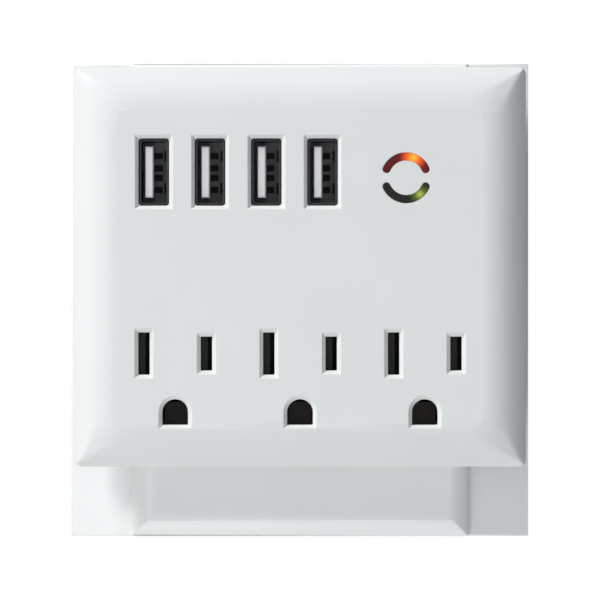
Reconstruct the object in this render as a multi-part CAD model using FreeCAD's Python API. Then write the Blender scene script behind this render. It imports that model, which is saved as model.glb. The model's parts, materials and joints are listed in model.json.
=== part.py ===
"""Wall charger with three grounded outlets, four USB sockets and a two-arc indicator, on its wall plate.

Millimetres. +Z is up, the front faces -Y and the wall is the plane y = 0. The origin is the middle of
the wall plate's back, on the axis of the screw that holds the plate. "Depth" means the distance in front
of the wall, so a point at depth d has y = -d.
"""

import FreeCAD, Part

import math
import os

Vector = FreeCAD.Vector

# ---------------------------------------------------------------- driving dimensions

# Wall plate: a flat flange with a raised centre that frames the duplex receptacle
plate_width = 95.5
plate_height = 98.7
flange_thickness = 2.4
flange_edge_round = 0.4
centre_width = 70.3
centre_depth = 7.0
centre_bevel_width = 5.4
centre_bevel_drop = 3.2
centre_face_wall = 3.2
centre_side_wall = 2.6
receptacle_spacing = 38.1
receptacle_width = 34.2
receptacle_height = 28.7
receptacle_edge_chamfer = 0.6
plate_screw_radius = 1.75
plate_screw_head_radius = 3.6
plate_screw_reach = 12.0
neck_step = 0.2
neck_stand_out = 0.3

# Case
cover_width = 92.2
cover_height = 81.6
cover_lift = 6.8
case_depth = 32.8
cover_wall = 2.0
face_wall = 2.2
cover_bevel_width = 9.0
cover_bevel_drop = 4.5
cover_corner_radius = 1.6
cover_edge_round = 0.5
rear_shell_height = 7.8
rear_shell_wall = 2.0
rear_shell_floor = 2.2
rear_shell_inset = 1.1
rear_shell_round = 1.4
lap_height = 2.0
lap_wall = 1.2

# Clearances
plate_gap = 0.2
lap_clearance = 0.15
loose_fit = 0.2
close_fit = 0.05
board_gap = 0.8

# Screws
case_screw_radius = 1.4
case_screw_head_radius = 2.7
case_screw_head_height = 1.8
case_screw_reach = 16.0
case_screw_sink = 0.6
case_boss_radius = 2.7
case_boss_inset = 3.6
web_thickness = 1.6
board_screw_radius = 0.95
board_screw_head_radius = 1.9
board_screw_head_height = 1.3
board_post_radius = 2.3
board_screw_bite = 7.0
screw_clearance = 0.05
recess_width = 0.5

# Outlets (three grounded parallel-blade outlets side by side)
outlet_count = 3
outlet_pitch = 25.4
outlet_drop = 17.7
blade_spacing = 12.7
ground_drop = 11.9
slot_width = 2.3
neutral_slot_height = 8.6
line_slot_height = 6.9
ground_hole_radius = 2.6
slot_chamfer = 0.75

# Receptacle base, its contacts and shutters
base_side_margin = 13.2
base_above_blades = 8.3
base_below_ground = 7.6
bus_depth = 20.2
bus_thickness = 0.8
contact_mouth = 32.4
contact_leaf = 0.5
chamber_roof = 33.2
chamber_width = 5.2
neutral_leaf_height = 8.0
line_leaf_height = 6.0
ground_leaf_height = 3.6
root_width = 5.0
strip_height = 2.0
strip_gap = 1.0
bus_cover_thickness = 1.7
shutter_thickness = 2.3
shutter_front_gap = 0.6
shutter_travel = 3.1
shutter_lid = 2.6
shutter_aperture = 3.0
shutter_height = 10.6
shutter_end_wall = 1.0
spring_reach = 0.9
spring_bend = 0.16
spring_wire = 0.11
spring_turns = 3
stop_post_width = 1.2
stop_post_reach = 1.15
spring_window_reach = 1.4
base_rim = 0.8

# Plug on the back
blade_rise = 4.8
blade_thickness = 1.5
neutral_blade_width = 7.9
line_blade_width = 6.35
blade_neck_width = 4.4
blade_reach = 17.5
blade_hole_radius = 1.8
blade_hole_from_back = 11.7
blade_tip_taper = 1.6
ground_pin_radius = 2.38
ground_pin_reach = 20.6
stabiliser_radius = 2.3
stabiliser_reach = 17.0
stabiliser_head_radius = 4.2

# USB sockets
usb_count = 4
usb_pitch = 11.45
usb_first_x = -29.75
usb_rise = 19.25
usb_width = 5.8
usb_height = 13.3
usb_length = 14.0
usb_metal = 0.35
usb_recess = 1.0
usb_chamfer = 0.7
usb_tab_tall = 2.2
usb_tab_bulge = 0.5
usb_tab_from_mouth = 3.0
usb_tab_length = 5.0
usb_floor = 3.0
tongue_thickness = 1.65
tongue_root = 0.5
tongue_tip_chamfer = 0.25
tongue_height = 10.5
tongue_side_gap = 0.8
tongue_setback = 0.7
contact_from_tip = 0.9
contact_width = 1.0
contact_thickness = 0.25
contact_offsets = (3.5, 1.0, -1.0, -3.5)
contact_pocket_width = 1.7
contact_pocket_clearance = 0.15
contact_tail = 2.4

# Indicator: two arcs of one ring
ring_x = 21.6
ring_rise = 18.05
ring_radius = 4.35
ring_width = 1.6
ring_half_angle = 66.0
lens_angles = {"indicator_lens_top": 90.0, "indicator_lens_bottom": 270.0}
lens_flange_width = 2.7
lens_flange_thickness = 1.0
led_radius = 1.5
led_height = 4.2
led_angle = 50.0
led_collar = 0.2
led_collar_height = 0.8
indicator_board_size = 15.0
indicator_board_depth = 29.8
indicator_post_radius = 1.5
indicator_peg_radius = 0.8

# Boards and what stands on them
board_thickness = 1.6
power_board_depth = 12.0
surge_board_depth = 12.0
board_split_gap = 1.2
usb_board_margin = 8.0
usb_board_below = 12.5
usb_board_above = 13.5
transformer_width = 17.0
transformer_tall = 14.5
transformer_deep = 12.0
bobbin_foot = 1.0
bobbin_cheek = 0.9
cheek_lip = 0.6
coil_round = 1.5
transformer_gap = 2.5
big_capacitor_radius = 4.0
big_capacitor_height = 13.0
capacitor_gap = 1.2
can_round = 0.15
crimp_height = 1.4
crimp_width = 0.6
crimp_share = 0.07
small_capacitor_radius = 3.15
small_capacitor_height = 7.2
output_capacitor_radius = 3.6
output_capacitor_height = 8.2
board_edge_margin = 0.6
chip_size = (4.0, 5.0)
chip_thickness = 1.5
row_gap = 1.0
filter_capacitor_width = 12.0
filter_capacitor_tall = 6.0
filter_capacitor_height = 11.0
filter_capacitor_round = 0.6
choke_radius = 5.4
choke_wire = 1.9
choke_lift = 0.7
choke_foot = (8.0, 4.0)
choke_foot_height = 1.6
bridge_size = (8.0, 6.4)
bridge_thickness = 2.6
bridge_lift = 0.3
bridge_foot = (0.9, 1.6)
bridge_foot_height = 1.2
bridge_foot_offset = (2.5, 3.9)
sink_length = 24.0
sink_tall = 9.0
sink_rise = 5.0
sink_base_thickness = 1.4
sink_fin = 1.0
sink_fins = 4
sink_headroom = 3.3
transistor_drop = 7.5
transistor_size = (6.6, 6.0)
transistor_thickness = 2.3
transistor_metal = 0.6
transistor_tab = (5.4, 1.2)
transistor_leg = (0.8, 2.0)
transistor_leg_offset = 2.3
varistor_radius = 6.0
varistor_thickness = 4.0
varistor_round = 0.3
cutoff_radius = 1.5
cutoff_length = 7.0
cutoff_drop = 6.5
cutoff_round = 0.4
fuse_radius = 1.8
fuse_length = 9.0
fuse_cap = 1.6
fuse_cap_metal = 0.25
header_pitch = 2.54
header_pin = 0.64
header_count = 4
header_body = 2.5
header_stand_out = 1.2
mains_wire_x = 12.0
mains_wire_lift = 3.2
wire_radius = 0.8
wire_bend = 1.8
wire_from_edge = 3.0
indicator_wire_count = 3
indicator_wire_shift = 0.6
indicator_wire_pitch = 1.15
indicator_wire_low = 9.0
indicator_wire_high = 5.5
indicator_wire_run = 2.5
indicator_wire_bend = 2.2
indicator_wire_radius = 0.5

# ---------------------------------------------------------------- derived places

back_depth = centre_depth + plate_gap
face_depth = back_depth + case_depth
inner_face_depth = face_depth - face_wall
parting_depth = back_depth + rear_shell_height
floor_depth = back_depth + rear_shell_floor
case_screw_seat = back_depth + case_screw_sink + case_screw_head_height

cover_half = cover_width / 2
cover_bottom = cover_lift - cover_height / 2
cover_top = cover_lift + cover_height / 2
inner_half = cover_half - cover_wall
inner_bottom = cover_bottom + cover_wall
inner_top = cover_top - cover_wall
boss_x = inner_half - case_boss_inset
boss_low = inner_bottom + case_boss_inset
boss_high = inner_top - case_boss_inset
boss_meet = parting_depth + lap_height + lap_clearance
case_boss_places = [(side * boss_x, z) for side in (-1, 1) for z in (boss_low, boss_high)]

blade_line = cover_lift - outlet_drop
ground_line = blade_line - ground_drop
outlet_xs = [outlet_pitch * (i - (outlet_count - 1) / 2) for i in range(outlet_count)]
half_blades = blade_spacing / 2

neutral_xs = [x - half_blades for x in outlet_xs]
line_xs = [x + half_blades for x in outlet_xs]
base_half = outlet_xs[-1] + base_side_margin
base_top = blade_line + base_above_blades
base_bottom = ground_line - base_below_ground
base_rear = bus_depth + bus_thickness
bus_cover_front = bus_depth - close_fit
bus_cover_depth = bus_cover_front - bus_cover_thickness

shutter_front = inner_face_depth - shutter_front_gap
shutter_back = shutter_front - shutter_thickness
pocket_floor = shutter_back - close_fit

plug_line = -receptacle_spacing / 2 + blade_rise
plug_ground = plug_line - ground_drop
stabiliser_z = receptacle_spacing / 2 + blade_rise - ground_drop

blade_spread = blade_thickness / 2 - 0.1
ground_spread = ground_pin_radius - 0.1
line_strip_low = plug_line - blade_neck_width / 2 - strip_gap - strip_height
between_outlets = [(a + b) / 2 for a, b in zip(outlet_xs, outlet_xs[1:])]
upper_screw_places = [(x, blade_line) for x in between_outlets]
anchor_places = [(x, line_strip_low - strip_gap - board_post_radius) for x in between_outlets]
base_screw_places = [*upper_screw_places, *anchor_places]

usb_xs = [usb_first_x + usb_pitch * i for i in range(usb_count)]
usb_z = cover_lift + usb_rise
usb_mouth = face_depth - usb_recess
usb_rear = usb_mouth - usb_length
usb_board_front = usb_rear
usb_board_rear = usb_rear - board_thickness
usb_board_left = usb_xs[0] - usb_board_margin
usb_board_right = usb_xs[-1] + usb_board_margin
usb_board_bottom = usb_z - usb_board_below
usb_board_top = usb_z + usb_board_above
usb_post_inset = board_post_radius + board_gap
usb_post_places = [
    (x, z)
    for x in (usb_board_left + usb_post_inset, usb_board_right - usb_post_inset)
    for z in (usb_board_bottom + usb_post_inset, usb_board_top - usb_post_inset)
]

header_x = (usb_xs[1] + usb_xs[2]) / 2
header_z = usb_board_bottom + 3.2

ring_z = cover_lift + ring_rise
indicator_front = indicator_board_depth + board_thickness
indicator_peg_offset = indicator_board_size / 2 - indicator_post_radius - 0.2
indicator_post_places = [
    (ring_x - indicator_peg_offset, ring_z + indicator_peg_offset),
    (ring_x + indicator_peg_offset, ring_z - indicator_peg_offset),
]

rear_inner_top = cover_top - rear_shell_inset - rear_shell_wall
rear_inner_bottom = cover_bottom + rear_shell_inset + rear_shell_wall
board_half = boss_x - case_boss_radius - board_gap
power_board_front = power_board_depth + board_thickness
surge_board_front = surge_board_depth + board_thickness
board_split = base_top + board_split_gap
power_board_bottom = board_split + board_split_gap / 2
power_board_top = rear_inner_top - board_gap
surge_board_top = board_split - board_split_gap / 2
surge_board_bottom = rear_inner_bottom + board_gap
post_inset = board_post_radius + board_gap
board_post_places = [
    (side * (board_half - post_inset), z)
    for side in (-1, 1)
    for z in (
        surge_board_bottom + post_inset,
        surge_board_top - post_inset,
        power_board_bottom + post_inset,
        power_board_top - post_inset,
    )
]
parts_row = (power_board_bottom + usb_board_bottom) / 2
fuse_place = (-30.0, usb_z - 6.0)
bridge_place = (-24.0, usb_z + 6.0)
sink_top = usb_board_rear - sink_headroom
output_capacitor_places = [(22.0, usb_z - 3.0), (22.0, usb_z + 6.5), (31.5, usb_z + 1.5)]


# ---------------------------------------------------------------- shape helpers


def block(x, depth, z):
    """A box over the ranges x, depth and z."""
    size = (x[1] - x[0], depth[1] - depth[0], z[1] - z[0])
    return Part.makeBox(*size, Vector(x[0], -depth[1], z[0]))


def centred(x, z, width, height, depth):
    """A box of that width and height about (x, z), over the depth range."""
    return block((x - width / 2, x + width / 2), depth, (z - height / 2, z + height / 2))


def rod(x, z, radius, depth):
    """A round bar along Y over the depth range."""
    return Part.makeCylinder(radius, depth[1] - depth[0], Vector(x, -depth[1], z), Vector(0, 1, 0))


def joined(shapes):
    """One clean solid, or group, out of several shapes."""
    first, *rest = shapes
    return first.fuse(rest).removeSplitter() if rest else first


def prism(points, direction):
    """The closed polygon through points, extruded along direction."""
    return Part.Face(Part.makePolygon([*points, points[0]])).extrude(direction)


def edges_along(shape, axis):
    """Straight edges of shape that run along axis."""
    found = []
    for edge in shape.Edges:
        if isinstance(edge.Curve, Part.Line):
            if abs(abs(edge.tangentAt(edge.FirstParameter).dot(axis)) - 1) < 1e-6:
                found.append(edge)
    return found


def rounded_bar(x, z, width, height, depth, radius):
    """A bar of rounded rectangular section along Y."""
    bar = centred(x, z, width, height, depth)
    return bar.makeFillet(radius, edges_along(bar, Vector(0, 1, 0)))


def bevelled_section(half, back, face, bevel_width, bevel_drop, place):
    """A flat-topped section whose shoulders are arcs that leave the face smoothly.

    place maps a point given as (across, depth) into space.
    """
    radius = (bevel_width**2 + bevel_drop**2) / (2 * bevel_drop)
    half_turn = math.asin(bevel_width / radius) / 2
    flat = half - bevel_width
    mid = (flat + radius * math.sin(half_turn), face - radius * (1 - math.cos(half_turn)))
    shoulder = face - bevel_drop
    right = Part.Arc(place(half, shoulder), place(*mid), place(flat, face))
    left = Part.Arc(place(-flat, face), place(-mid[0], mid[1]), place(-half, shoulder))
    edges = [
        Part.LineSegment(place(-half, back), place(half, back)),
        Part.LineSegment(place(half, back), place(half, shoulder)),
        right,
        Part.LineSegment(place(flat, face), place(-flat, face)),
        left,
        Part.LineSegment(place(-half, shoulder), place(-half, back)),
    ]
    return Part.Face(Part.Wire([e.toShape() for e in edges]))


def pillow(width, height, middle_z, back, face, bevel_width, bevel_drop):
    """A block whose four shoulders curve down from a flat face and meet in mitres at the corners."""
    low = middle_z - height / 2
    upright = bevelled_section(
        width / 2, back, face, bevel_width, bevel_drop, lambda a, d: Vector(a, -d, low)
    ).extrude(Vector(0, 0, height))
    level = bevelled_section(
        height / 2, back, face, bevel_width, bevel_drop, lambda a, d: Vector(-width / 2, -d, middle_z + a)
    ).extrude(Vector(width, 0, 0))
    return upright.common(level)


def flare(wire_at, depth_in, depth_out, grow):
    """A funnel from the outline wire_at(0, depth_in) to the outline grown by grow at depth_out."""
    return Part.makeLoft([wire_at(0, depth_in), wire_at(grow, depth_out)], True, True)


def rectangle_wire(x, z, width, height):
    """A function giving the rectangle about (x, z), grown by a margin, at a depth."""

    def at(grow, depth):
        half_w, half_h = width / 2 + grow, height / 2 + grow
        corners = [(-half_w, -half_h), (half_w, -half_h), (half_w, half_h), (-half_w, half_h)]
        points = [Vector(x + a, -depth, z + b) for a, b in corners]
        return Part.makePolygon([*points, points[0]])

    return at


def arched_wire(x, z, radius):
    """A function giving the outline with a flat bottom and a round top, grown by a margin, at a depth."""

    def at(grow, depth):
        r = radius + grow
        left_low, right_low = Vector(x - r, -depth, z - r), Vector(x + r, -depth, z - r)
        left, right, top = Vector(x - r, -depth, z), Vector(x + r, -depth, z), Vector(x, -depth, z + r)
        edges = [
            Part.LineSegment(left_low, right_low),
            Part.LineSegment(right_low, right),
            Part.Arc(right, top, left),
            Part.LineSegment(left, left_low),
        ]
        return Part.Wire([e.toShape() for e in edges])

    return at


def arched_bar(x, z, radius, depth):
    """A bar with a flat bottom and a round top over the depth range."""
    return Part.Face(arched_wire(x, z, radius)(0, depth[0])).extrude(Vector(0, depth[0] - depth[1], 0))


def ring_arc(radius, width, half_angle, middle_angle, depth):
    """A stretch of a flat ring about the indicator's centre, with round ends, over the depth range."""
    band = rod(ring_x, ring_z, radius + width / 2, depth).cut(rod(ring_x, ring_z, radius - width / 2, depth))
    far = 3 * radius
    fan = [Vector(ring_x, -depth[1], ring_z)]
    for turn in (-half_angle, 0, half_angle):
        angle = math.radians(middle_angle + turn)
        fan.append(Vector(ring_x + far * math.cos(angle), -depth[1], ring_z + far * math.sin(angle)))
    wedge = prism(fan, Vector(0, depth[1] - depth[0], 0))
    pieces = [band.common(wedge)]
    for turn in (-half_angle, half_angle):
        angle = math.radians(middle_angle + turn)
        end = (ring_x + radius * math.cos(angle), ring_z + radius * math.sin(angle))
        pieces.append(rod(*end, width / 2, depth))
    return joined(pieces)


def screw(x, z, seat, tip, shank_radius, head_radius, head_height):
    """A pan-head screw with a cross recess, its head's underside at depth seat and its point at tip."""
    way = 1 if tip > seat else -1
    shank = rod(x, z, shank_radius, sorted((seat, tip - way * shank_radius)))
    point = Part.makeCone(
        shank_radius,
        shank_radius * 0.35,
        shank_radius,
        Vector(x, -(tip - way * shank_radius), z),
        Vector(0, -way, 0),
    )
    head_top = seat - way * head_height
    head = rod(x, z, head_radius, sorted((seat, head_top)))
    rim = [e for e in head.Edges if abs(e.CenterOfMass.y + head_top) < 1e-6 and e.Closed]
    head = head.makeFillet(head_height * 0.45, rim)
    recess = sorted((head_top, seat - way * head_height * 0.45))
    arm = head_radius * 1.15
    cross = joined([centred(x, z, arm, recess_width, recess), centred(x, z, recess_width, arm, recess)])
    return joined([shank, point, head]).cut(cross)


def pipe(points, bend, radius):
    """A round wire along straight runs joined by tangent arcs of one bend radius."""
    edges, start = [], points[0]
    for before, corner, after in zip(points, points[1:], points[2:]):
        towards, away = (before - corner).normalize(), (after - corner).normalize()
        turn = math.pi - towards.getAngle(away)
        reach = bend * math.tan(turn / 2)
        first, last = corner + towards * reach, corner + away * reach
        middle = (towards + away).normalize()
        centre = corner + middle * (bend / math.cos(turn / 2))
        edges.append(Part.LineSegment(start, first).toShape())
        edges.append(Part.Arc(first, centre - middle * bend, last).toShape())
        start = last
    edges.append(Part.LineSegment(start, points[-1]).toShape())
    path = Part.Wire(edges)
    disc = Part.Wire(Part.makeCircle(radius, points[0], points[1] - points[0]))
    return path.makePipeShell([disc], True, False)


# ---------------------------------------------------------------- wall plate


def receptacle_opening(z, depth, grow=0.0):
    """The round opening with flat top and bottom that a duplex receptacle's face fills."""
    height = receptacle_height + 2 * grow
    return rod(0, z, receptacle_width / 2 + grow, depth).common(
        centred(0, z, receptacle_width + 2 * grow, height, depth)
    )


def mounting_plate():
    flange = centred(0, 0, plate_width, plate_height, (0, flange_thickness))
    front_rim = [e for e in flange.Edges if abs(e.CenterOfMass.y + flange_thickness) < 1e-6]
    flange = flange.makeFillet(flange_edge_round, front_rim)
    raised = pillow(
        centre_width, plate_height, 0, 0, centre_depth, centre_bevel_width, centre_bevel_drop
    )
    plate = joined([flange, raised])
    pocket_depth = centre_depth - centre_face_wall
    pocket = centred(
        0,
        0,
        centre_width - 2 * (centre_bevel_width + centre_side_wall),
        plate_height - 2 * (centre_bevel_width + centre_side_wall),
        (0, pocket_depth),
    )
    bridge = centred(0, 0, centre_width, receptacle_spacing - receptacle_height, (0, pocket_depth))
    plate = plate.cut(pocket.cut(bridge))
    for side in (-1, 1):
        z = side * receptacle_spacing / 2
        plate = plate.cut(receptacle_opening(z, (-1, centre_depth + 1)))
        chamfer_from = centre_depth - receptacle_edge_chamfer
        plate = plate.cut(receptacle_opening(z, (chamfer_from, centre_depth + 1), receptacle_edge_chamfer))
    hole = rod(0, 0, plate_screw_radius + screw_clearance, (-1, centre_depth + 1))
    return plate.cut(hole).cut(plate_screw_head(screw_clearance))


def plate_screw_head(grow):
    """The countersunk head, flush with the plate's raised face."""
    rise = plate_screw_head_radius - plate_screw_radius
    return Part.makeCone(
        plate_screw_radius + grow,
        plate_screw_head_radius + grow,
        rise,
        Vector(0, -(centre_depth - rise), 0),
        Vector(0, -1, 0),
    )


def plate_screw():
    rise = plate_screw_head_radius - plate_screw_radius
    shank = rod(0, 0, plate_screw_radius, (-plate_screw_reach, -neck_stand_out))
    neck = rod(0, 0, plate_screw_radius - neck_step, (-neck_stand_out, centre_depth - rise))
    tip_rim = [e for e in shank.Edges if abs(e.CenterOfMass.y - plate_screw_reach) < 1e-6 and e.Closed]
    shank = shank.makeChamfer(plate_screw_radius * 0.3, tip_rim)
    slot_depth = (centre_depth - rise * 0.5, centre_depth + 1)
    slot = centred(0, 0, 2 * plate_screw_head_radius + 1, 1.1, slot_depth)
    return joined([shank, neck, plate_screw_head(0)]).cut(slot)


# ---------------------------------------------------------------- case


def cavity(margin=0.0):
    """The space inside the front cover, taken in by a margin at its four sides but not at its face."""
    return pillow(
        2 * (inner_half - margin),
        inner_top - inner_bottom - 2 * margin,
        cover_lift,
        0,
        inner_face_depth,
        cover_bevel_width,
        cover_bevel_drop,
    )


def case_boss(x, z, depth):
    """A screw boss near a corner of the case, tied to both side walls by webs."""
    half = web_thickness / 2
    wall_x = math.copysign(inner_half + lap_clearance, x)
    wall_z = inner_top + lap_clearance if z > cover_lift else inner_bottom - lap_clearance
    level = block(sorted((x, wall_x)), depth, (z - half, z + half))
    upright = block((x - half, x + half), depth, sorted((z, wall_z)))
    return joined([rod(x, z, case_boss_radius, depth), level, upright])


def shutter_room(x):
    """The space that the shutter at x sweeps, with its clearance."""
    left, right = shutter_extent(x)
    half = shutter_height / 2 + loose_fit
    return block(
        (left - shutter_travel - loose_fit, right + loose_fit),
        (shutter_back, shutter_front + loose_fit),
        (blade_line - half, blade_line + half),
    )


def front_cover():
    outer = pillow(
        cover_width, cover_height, cover_lift, parting_depth, face_depth, cover_bevel_width, cover_bevel_drop
    )
    outer = outer.makeFillet(cover_corner_radius, edges_along(outer, Vector(0, 1, 0)))
    shoulder = face_depth - cover_bevel_drop
    rim = [
        e
        for e in outer.Edges
        if abs(e.BoundBox.YMin + shoulder) < 1e-4 and abs(e.BoundBox.YMax + shoulder) < 1e-4
    ]
    if rim:
        outer = outer.makeFillet(cover_edge_round, rim)
    shell = outer.cut(cavity())
    for x in outlet_xs:
        shell = shell.cut(shutter_room(x))
    bosses = [case_boss(x, z, (boss_meet, face_depth)) for x, z in case_boss_places]
    posts = [rod(x, z, board_post_radius, (usb_board_front, face_depth)) for x, z in usb_post_places]
    posts += [rod(x, z, board_post_radius, (bus_cover_front, face_depth)) for x, z in anchor_places]
    pegs = []
    for x, z in indicator_post_places:
        pegs.append(rod(x, z, indicator_post_radius, (indicator_front, face_depth)))
        pegs.append(rod(x, z, indicator_peg_radius, (indicator_board_depth - board_gap, face_depth)))
    shell = joined([shell, *[p.common(outer) for p in [*bosses, *posts, *pegs]]])
    screw_hole = (0, case_screw_seat + case_screw_reach + 2)
    for x, z in case_boss_places:
        shell = shell.cut(rod(x, z, case_screw_radius + screw_clearance, screw_hole))
    hole = board_screw_radius + screw_clearance
    for x, z in usb_post_places:
        shell = shell.cut(rod(x, z, hole, (0, usb_board_front + board_screw_bite)))
    for x, z in anchor_places:
        shell = shell.cut(rod(x, z, hole, (0, bus_cover_front + board_screw_bite)))
    return cut_front_openings(shell)


def cut_front_openings(shell):
    chamfer_from = face_depth - slot_chamfer
    through = (inner_face_depth - 1, face_depth + 1)
    for x in outlet_xs:
        for side, height in ((-1, neutral_slot_height), (1, line_slot_height)):
            place = (x + side * half_blades, blade_line)
            shell = shell.cut(centred(*place, slot_width, height, through))
            wire = rectangle_wire(*place, slot_width, height)
            shell = shell.cut(flare(wire, chamfer_from, face_depth, slot_chamfer))
        shell = shell.cut(arched_bar(x, ground_line, ground_hole_radius, through))
        wire = arched_wire(x, ground_line, ground_hole_radius)
        shell = shell.cut(flare(wire, chamfer_from, face_depth, slot_chamfer))
    for x in usb_xs:
        width, height = usb_width + 2 * loose_fit, usb_height + 2 * loose_fit
        shell = shell.cut(rounded_bar(x, usb_z, width, height, through, usb_chamfer))
        wire = rectangle_wire(x, usb_z, width, height)
        shell = shell.cut(flare(wire, face_depth - usb_chamfer, face_depth, usb_chamfer))
    for angle in lens_angles.values():
        window = ring_arc(ring_radius, ring_width, ring_half_angle, angle, through)
        shell = shell.cut(window)
    return shell


def rear_shell():
    half = cover_half - rear_shell_inset
    height = cover_height - 2 * rear_shell_inset
    outer = centred(0, cover_lift, 2 * half, height, (back_depth, parting_depth))
    outer = outer.makeFillet(cover_corner_radius, edges_along(outer, Vector(0, 1, 0)))
    back_rim = [
        e for e in outer.Edges if abs(e.BoundBox.YMax + back_depth) < 1e-6 and e.BoundBox.YLength < 1e-6
    ]
    outer = outer.makeFillet(rear_shell_round, back_rim)
    hollow = centred(
        0,
        cover_lift,
        2 * (half - rear_shell_wall),
        height - 2 * rear_shell_wall,
        (floor_depth, parting_depth + 1),
    )
    tray = outer.cut(hollow)
    lap_half = inner_half - lap_clearance
    lap_tall = inner_top - inner_bottom - 2 * lap_clearance
    lap = centred(0, cover_lift, 2 * lap_half, lap_tall, (parting_depth - 1, parting_depth + lap_height))
    lap = lap.cut(
        centred(0, cover_lift, 2 * (lap_half - lap_wall), lap_tall - 2 * lap_wall, (0, face_depth))
    )
    inside = centred(0, cover_lift, 2 * lap_half, lap_tall, (0, face_depth))
    bosses = [case_boss(x, z, (floor_depth, boss_meet)).common(inside) for x, z in case_boss_places]
    posts = [rod(x, z, board_post_radius, (floor_depth, power_board_depth)) for x, z in board_post_places]
    tray = joined([tray, lap, *bosses, *posts])
    for x, z in case_boss_places:
        tray = tray.cut(rod(x, z, case_screw_radius + loose_fit, (0, face_depth)))
        tray = tray.cut(rod(x, z, case_screw_head_radius + loose_fit, (0, case_screw_seat)))
    for x, z in board_post_places:
        tray = tray.cut(rod(x, z, board_screw_radius + screw_clearance, (floor_depth, face_depth)))
    for cutter in plug_passages(close_fit, (0, floor_depth + 1)):
        tray = tray.cut(cutter)
    return tray.cut(rod(0, stabiliser_z, stabiliser_radius - neck_step + close_fit, (0, floor_depth + 1)))


def plug_passages(fit, depth):
    """Cutters for the two blades and the ground pin where they pass through the rear shell."""
    return [
        centred(-half_blades, plug_line, blade_thickness + 2 * fit, neutral_blade_width + 2 * fit, depth),
        centred(half_blades, plug_line, blade_thickness + 2 * fit, line_blade_width + 2 * fit, depth),
        rod(0, plug_ground, ground_pin_radius - neck_step + fit, depth),
    ]


def neck_passages(fit, depth):
    """Cutters for the narrow inner ends of the blades and for the ground pin."""
    cutters = [
        centred(side * half_blades, plug_line, blade_thickness + 2 * fit, blade_neck_width + 2 * fit, depth)
        for side in (-1, 1)
    ]
    return [*cutters, rod(0, plug_ground, ground_pin_radius - neck_step + fit, depth)]


def case_screws():
    size = (case_screw_radius, case_screw_head_radius, case_screw_head_height)
    tip = case_screw_seat + case_screw_reach
    return Part.makeCompound([screw(x, z, case_screw_seat, tip, *size) for x, z in case_boss_places])


# ---------------------------------------------------------------- plug


def blade(side, width):
    """A flat plug blade with a tapered tip, a hole near the tip and a narrow neck inside the case."""
    x = side * half_blades
    tip = -(blade_reach - back_depth)
    neck = centred(x, plug_line, blade_thickness, blade_neck_width, (floor_depth, bus_depth))
    full = centred(x, plug_line, blade_thickness, width, (tip + blade_tip_taper, floor_depth))
    thin = blade_thickness * 0.45
    narrow = width - 2 * blade_tip_taper
    taper = Part.makeLoft(
        [
            rectangle_wire(x, plug_line, blade_thickness, width)(0, tip + blade_tip_taper),
            rectangle_wire(x, plug_line, thin, narrow)(0, tip),
        ],
        True,
        True,
    )
    hole_depth = back_depth - blade_hole_from_back
    hole = Part.makeCylinder(
        blade_hole_radius,
        3 * blade_thickness,
        Vector(x - 1.5 * blade_thickness, -hole_depth, plug_line),
        Vector(1, 0, 0),
    )
    return joined([neck, full, taper]).cut(hole)


def nosed_pin(z, radius, tip, inner_end):
    """A round pin along Y with a domed nose and a slimmer neck that starts just outside the case."""
    shoulder = back_depth - neck_stand_out
    body = rod(0, z, radius, (tip + radius, shoulder))
    neck = rod(0, z, radius - neck_step, (shoulder, inner_end))
    nose = Part.makeSphere(radius, Vector(0, -(tip + radius), z))
    return joined([body, neck, nose])


def ground_pin():
    return nosed_pin(plug_ground, ground_pin_radius, -(ground_pin_reach - back_depth), bus_depth)


def stabiliser_pin():
    tip = -(stabiliser_reach - back_depth)
    head = rod(0, stabiliser_z, stabiliser_head_radius, (floor_depth, floor_depth + 1.4))
    return joined([nosed_pin(stabiliser_z, stabiliser_radius, tip, floor_depth), head])


# ---------------------------------------------------------------- outlets


def contact_leaf_pair(x, z, height, spread):
    """Two sprung leaves that pinch near the mouth and flare at it. spread is half the gap at the pinch."""
    pinch, root_out, mouth_out = contact_mouth - 2.9, spread + 1.1, spread + 0.75
    outline = [
        (root_out, base_rear),
        (spread, pinch),
        (mouth_out, contact_mouth),
        (mouth_out + contact_leaf, contact_mouth - 0.2),
        (spread + contact_leaf + 0.05, pinch),
        (root_out + contact_leaf, base_rear),
    ]
    leaves = []
    for side in (-1, 1):
        points = [Vector(x + side * a, -d, z - height / 2) for a, d in outline]
        leaves.append(prism(points, Vector(0, 0, height)))
    return leaves


def bus(xs, clip_z, leaf_height, spread, root_low, root_high, strip_low):
    """Contact clips standing on root plates that one strip joins, all stamped from one sheet."""
    plane = (bus_depth, bus_depth + bus_thickness)
    width = max(root_width, 2 * (spread + 1.1 + contact_leaf))
    pieces = [block((xs[0] - width / 2, xs[-1] + width / 2), plane, (strip_low, strip_low + strip_height))]
    for x in xs:
        pieces.append(block((x - width / 2, x + width / 2), plane, (root_low, root_high)))
        pieces.extend(contact_leaf_pair(x, clip_z, leaf_height, spread))
    return joined(pieces)




def neutral_bus():
    low = min(blade_line - neutral_leaf_height / 2, plug_line - blade_neck_width / 2)
    strip_low = blade_line + neutral_leaf_height / 2 + 1.2
    return bus(neutral_xs, blade_line, neutral_leaf_height, blade_spread, low, strip_low + 1, strip_low)


def line_bus():
    high = blade_line + line_leaf_height / 2
    return bus(line_xs, blade_line, line_leaf_height, blade_spread, line_strip_low, high, line_strip_low)


def ground_bus():
    high = ground_line + ground_leaf_height / 2
    strip_low = base_bottom + base_rim + loose_fit
    return bus(outlet_xs, ground_line, ground_leaf_height, ground_spread, strip_low, high, strip_low)


def shutter_extent(x):
    """Left and right ends of the shutter of the outlet at x, when it is closed."""
    return (
        x - half_blades - shutter_lid / 2 - shutter_end_wall,
        x + half_blades + shutter_lid / 2 + shutter_aperture + 0.3 + shutter_end_wall,
    )


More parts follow.
